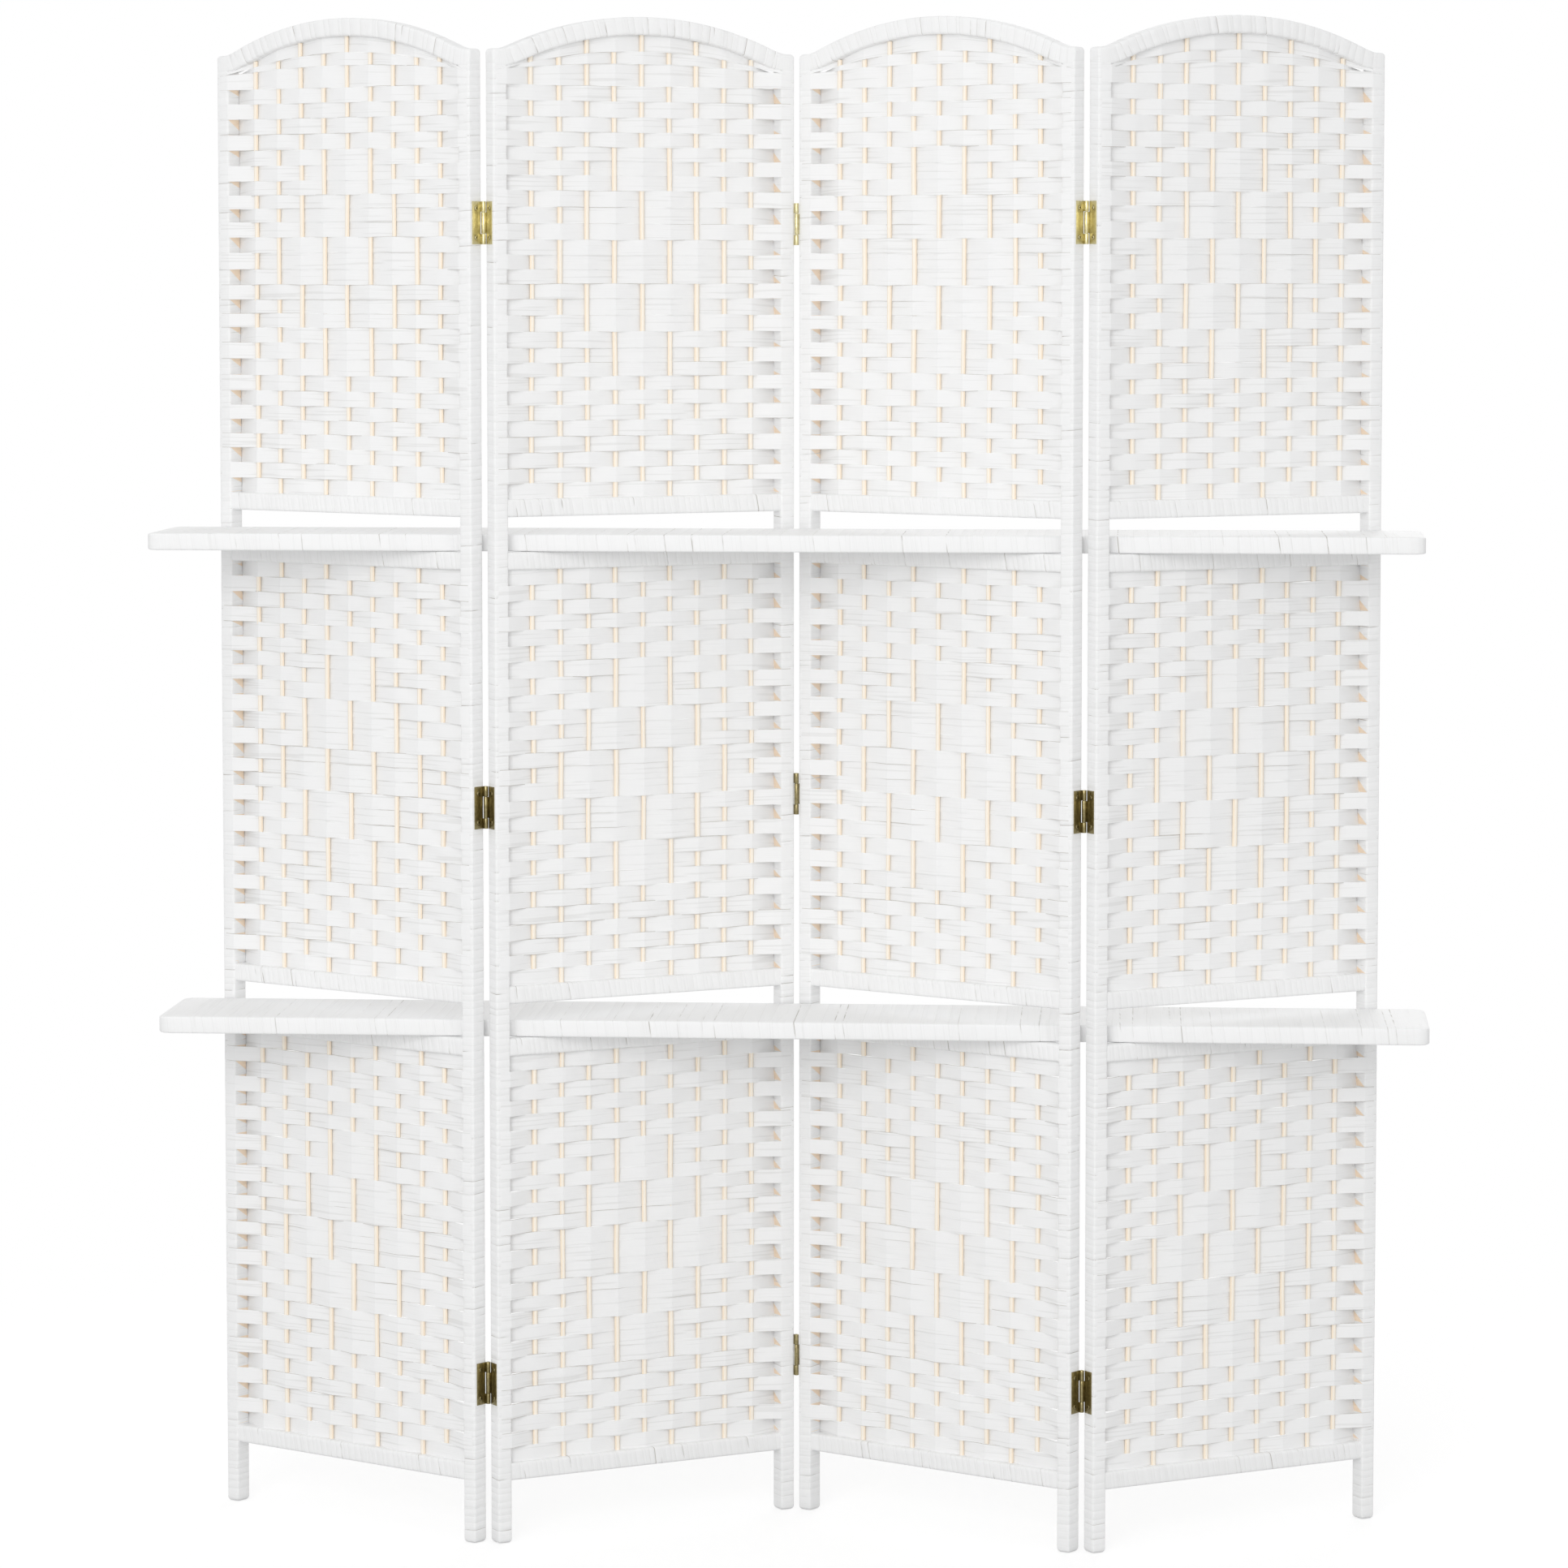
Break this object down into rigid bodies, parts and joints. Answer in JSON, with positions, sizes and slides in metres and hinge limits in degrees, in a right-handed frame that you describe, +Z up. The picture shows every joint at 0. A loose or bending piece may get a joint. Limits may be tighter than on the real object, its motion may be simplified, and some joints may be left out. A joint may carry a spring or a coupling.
{
  "type": "folding room divider",
  "caption": "Folding screen of arched panels woven from paper strip on upright rods, joined by butt hinges, with long shelves threaded through slots in the panels.",
  "frame": {"origin": "on the floor, under the middle of the screen's outer box, as it stands folded in the picture", "axes": "+X along the shelves to the right, +Y to the back, +Z up"},
  "size_m": [1.509, 0.2342, 1.8],
  "materials": {
    "wrapped_frame": "wood wrapped in matt white paper strip",
    "woven_strip": "flat white paper strip, matt, with fine lengthwise fibres",
    "rods": "bare pale wood",
    "brass": "polished, slightly aged"
  },
  "bodies": {
    "panel_1": {"panel_1_left_stile": "wrapped_frame", "panel_1_right_stile": "wrapped_frame", "panel_1_arch_rail": "wrapped_frame", "panel_1_upper_slot_head": "wrapped_frame", "panel_1_upper_slot_sill": "wrapped_frame", "panel_1_lower_slot_head": "wrapped_frame", "panel_1_lower_slot_sill": "wrapped_frame", "panel_1_bottom_rail": "wrapped_frame", "panel_1_warp_rods": "rods", "panel_1_weft_strips": "woven_strip", "panel_1_hinge_screws": "brass", "hinge_12_left_leaves": "brass", "hinge_12_pins": "brass"},
    "panel_2": {"panel_2_left_stile": "wrapped_frame", "panel_2_right_stile": "wrapped_frame", "panel_2_arch_rail": "wrapped_frame", "panel_2_upper_slot_head": "wrapped_frame", "panel_2_upper_slot_sill": "wrapped_frame", "panel_2_lower_slot_head": "wrapped_frame", "panel_2_lower_slot_sill": "wrapped_frame", "panel_2_bottom_rail": "wrapped_frame", "panel_2_warp_rods": "rods", "panel_2_weft_strips": "woven_strip", "panel_2_hinge_screws": "brass", "hinge_23_left_leaves": "brass", "hinge_23_pins": "brass", "hinge_12_right_leaves": "brass"},
    "panel_3": {"panel_3_left_stile": "wrapped_frame", "panel_3_right_stile": "wrapped_frame", "panel_3_arch_rail": "wrapped_frame", "panel_3_upper_slot_head": "wrapped_frame", "panel_3_upper_slot_sill": "wrapped_frame", "panel_3_lower_slot_head": "wrapped_frame", "panel_3_lower_slot_sill": "wrapped_frame", "panel_3_bottom_rail": "wrapped_frame", "panel_3_warp_rods": "rods", "panel_3_weft_strips": "woven_strip", "panel_3_hinge_screws": "brass", "hinge_34_left_leaves": "brass", "hinge_34_pins": "brass", "hinge_23_right_leaves": "brass"},
    "panel_4": {"panel_4_left_stile": "wrapped_frame", "panel_4_right_stile": "wrapped_frame", "panel_4_arch_rail": "wrapped_frame", "panel_4_upper_slot_head": "wrapped_frame", "panel_4_upper_slot_sill": "wrapped_frame", "panel_4_lower_slot_head": "wrapped_frame", "panel_4_lower_slot_sill": "wrapped_frame", "panel_4_bottom_rail": "wrapped_frame", "panel_4_warp_rods": "rods", "panel_4_weft_strips": "woven_strip", "panel_4_hinge_screws": "brass", "hinge_34_right_leaves": "brass"},
    "upper_shelf": {"upper_shelf_rails": "wrapped_frame", "upper_shelf_battens": "wrapped_frame", "upper_shelf_deck": "woven_strip"},
    "lower_shelf": {"lower_shelf_rails": "wrapped_frame", "lower_shelf_battens": "wrapped_frame", "lower_shelf_deck": "woven_strip"}
  },
  "joints": [
    {"name": "fold_23", "type": "hinge", "parent": "panel_2", "child": "panel_3", "pos_m": [0, 0.10234, 0.874], "axis": [0, 0, -1], "range_deg": [0, 112]},
    {"name": "fold_12", "type": "hinge", "parent": "panel_2", "child": "panel_1", "pos_m": [-0.35093, -0.10234, 0.874], "axis": [0, 0, -1], "range_deg": [0, 112]},
    {"name": "fold_34", "type": "hinge", "parent": "panel_3", "child": "panel_4", "pos_m": [0.35093, -0.10234, 0.874], "axis": [0, 0, 1], "range_deg": [0, 112]},
    {"name": "lower_shelf_turn", "type": "hinge", "parent": "panel_2", "child": "lower_shelf", "pos_m": [-0.17546, 0, 0.601], "axis": [0, 0, -1], "range_deg": [0, 56]},
    {"name": "upper_shelf_slide", "type": "slide", "parent": "lower_shelf", "child": "upper_shelf", "axis": [1, 0, 0], "range_m": [-0.9, 0.9]}
  ],
  "couplings": [
    {"joint": "fold_12", "follows": "fold_23", "ratio": 1},
    {"joint": "fold_34", "follows": "fold_23", "ratio": 1},
    {"joint": "lower_shelf_turn", "follows": "fold_23", "ratio": 0.5}
  ]
}
